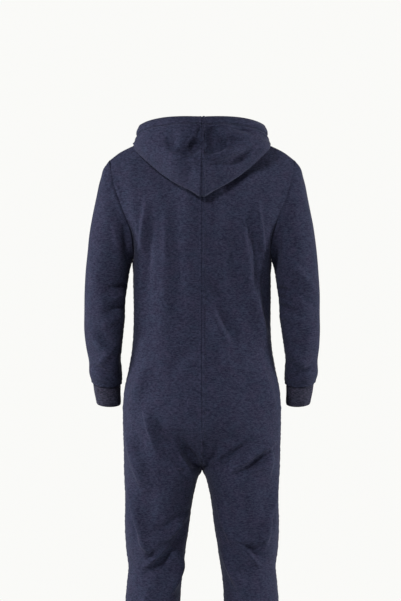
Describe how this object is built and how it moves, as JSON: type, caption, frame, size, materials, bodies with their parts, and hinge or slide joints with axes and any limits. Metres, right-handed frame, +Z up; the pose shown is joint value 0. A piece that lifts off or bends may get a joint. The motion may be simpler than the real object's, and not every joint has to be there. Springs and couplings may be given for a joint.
{
  "type": "onesie pajama",
  "caption": "Hooded one-piece pyjama in navy melange fleece with a front zip, long sleeves and rib cuffs, in worn form with the hood down.",
  "frame": {"origin": "point between the shoulders at which the wearer holds the garment up, 1.500 m above the floor", "axes": "+Z up; the garment's front faces -Y and the wearer's left side is +X"},
  "size_m": [0.5654, 0.287, 1.48],
  "materials": {
    "fleece": "brushed melange sweatshirt fleece",
    "rib": "one by one rib knit",
    "zip_tape": "woven tape",
    "zip_metal": "satin"
  },
  "bodies": {
    "garment": {"back_left": "fleece", "back_right": "fleece", "front_left": "fleece", "front_right": "fleece", "sleeve_left": "fleece", "sleeve_right": "fleece", "hood_left": "fleece", "hood_right": "fleece", "cuff_left": "rib", "cuff_right": "rib", "leg_cuff_left": "rib", "leg_cuff_right": "rib", "zip_tape_left": "zip_tape", "zip_tape_right": "zip_tape", "zip_slider": "zip_metal"},
    "zip_pull": {"zip_pull": "zip_metal"}
  },
  "joints": [
    {"name": "pull_tab", "type": "hinge", "parent": "garment", "child": "zip_pull", "pos_m": [0, -0.10029, -0.01958], "axis": [-1, 0, 0], "range_deg": [-15, 150]}
  ]
}
